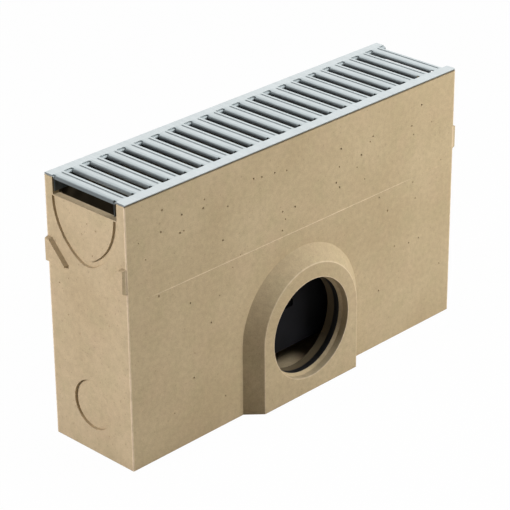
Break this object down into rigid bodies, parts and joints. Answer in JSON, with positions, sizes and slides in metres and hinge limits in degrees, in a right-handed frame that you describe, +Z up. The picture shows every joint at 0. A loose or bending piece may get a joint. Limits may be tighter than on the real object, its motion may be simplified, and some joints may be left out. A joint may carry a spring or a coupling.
{
  "type": "drainage sump",
  "caption": "Narrow cast drainage sump with a slotted steel grating, an arched side outlet with a pipe seal, scored end knock-outs and a lift-out silt bucket with a wire bail.",
  "frame": {"origin": "centre of the underside", "axes": "+X along the length, the outlet faces -Y, +Z up"},
  "size_m": [0.51, 0.1349, 0.3012],
  "materials": {
    "polymer_concrete": "cast, fine grained, matt",
    "seal_rubber": "smooth rubber",
    "galvanised_steel": "hot-dip galvanised",
    "black_plastic": "moulded, fine grained",
    "steel_wire": "drawn wire, galvanised"
  },
  "bodies": {
    "sump": {"sump_body": "polymer_concrete", "outlet_seal": "seal_rubber", "grating": "galvanised_steel", "silt_bucket": "black_plastic"},
    "bail": {"bucket_bail": "steel_wire"}
  },
  "joints": [
    {"name": "bail_swing", "type": "hinge", "parent": "sump", "child": "bail", "pos_m": [0, 0, 0.2053], "axis": [0, -1, 0], "range_deg": [0, 180]}
  ]
}
